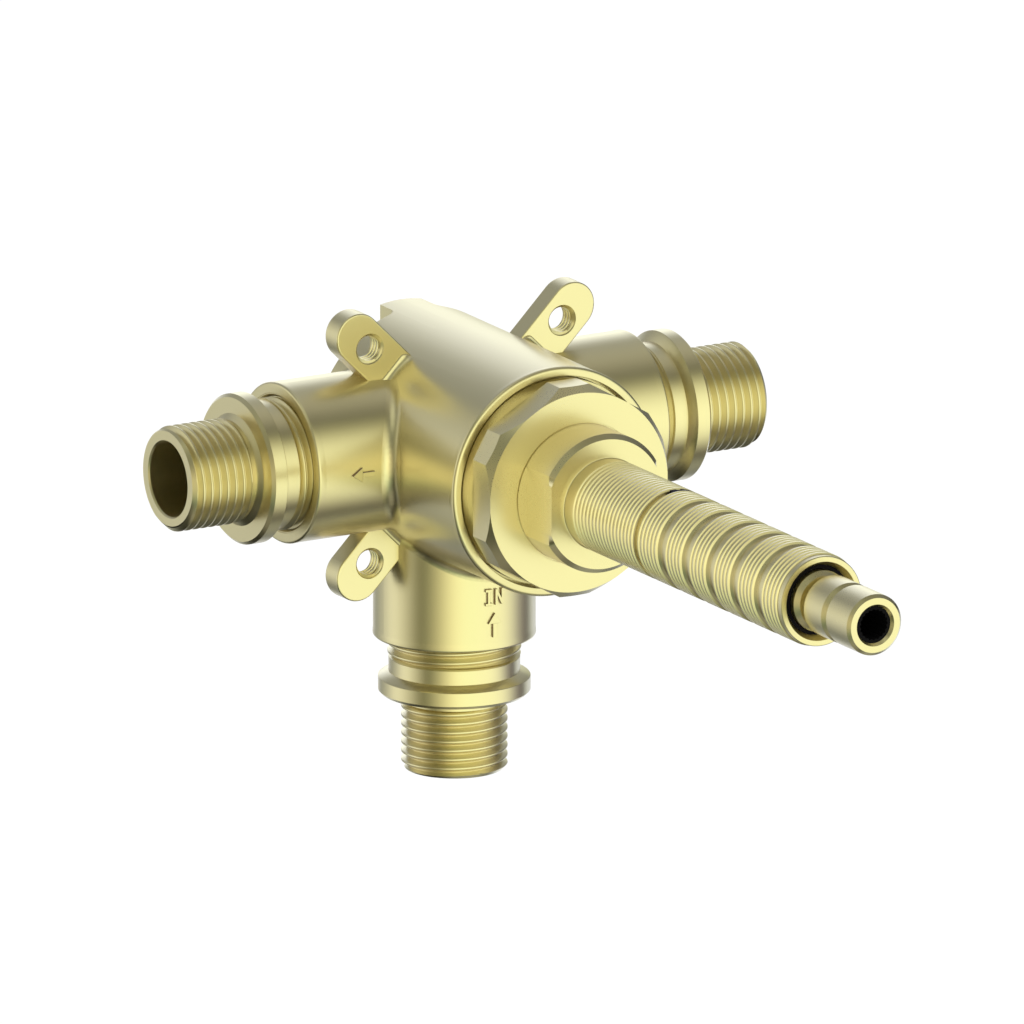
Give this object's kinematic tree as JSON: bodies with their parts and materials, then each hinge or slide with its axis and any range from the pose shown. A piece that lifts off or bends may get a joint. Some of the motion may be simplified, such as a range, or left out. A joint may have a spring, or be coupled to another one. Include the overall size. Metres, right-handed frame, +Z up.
{
  "type": "shower diverter valve",
  "caption": "Concealed brass diverter valve: threaded inlet below, threaded outlets left and right, fixing lugs, and an extension spindle in a threaded sleeve.",
  "frame": {"origin": "on the barrel's axis, in the plane of the three ports' axes, which is also inside the thickness of the lugs", "axes": "+X toward the right outlet, -Y forward along the spindle, +Z up, with the inlet pointing down"},
  "size_m": [0.1304, 0.1865, 0.0962],
  "materials": {
    "cast_brass": "satin, blasted and machined",
    "nipple_brass": "satin, turned",
    "nut_brass": "satin, turned",
    "sleeve_brass": "satin, turned",
    "spindle_brass": "satin, turned",
    "stem_brass": "turned",
    "black_plastic": "matte",
    "insert_plastic": "matte",
    "driver_plastic": "matte",
    "housing_plastic": "matte",
    "white_ceramic": "lapped",
    "grey_ceramic": "lapped",
    "red_fibre": "matte",
    "black_rubber": "matte",
    "spring_steel": "bright"
  },
  "bodies": {
    "valve": {"valve_body": "cast_brass", "inlet_nipple": "nipple_brass", "left_outlet_nipple": "nipple_brass", "right_outlet_nipple": "nipple_brass", "port_washers": "red_fibre", "base_seal": "black_rubber", "fixed_disc": "white_ceramic", "cartridge_housing": "housing_plastic", "housing_ring": "black_rubber", "slip_washer": "driver_plastic", "clamp_nut": "nut_brass", "threaded_sleeve": "sleeve_brass", "guide_liner": "black_plastic"},
    "turning_parts": {"moving_disc": "grey_ceramic", "disc_driver": "driver_plastic", "valve_stem": "stem_brass", "stem_rings": "black_rubber", "stem_clip": "spring_steel", "spindle": "spindle_brass", "handle_insert": "insert_plastic", "spindle_screw": "spring_steel"}
  },
  "joints": [
    {"name": "spindle_turn", "type": "hinge", "parent": "valve", "child": "turning_parts", "pos_m": [0, 0, 0], "axis": [0, -1, 0], "range_deg": [-45, 45]}
  ]
}
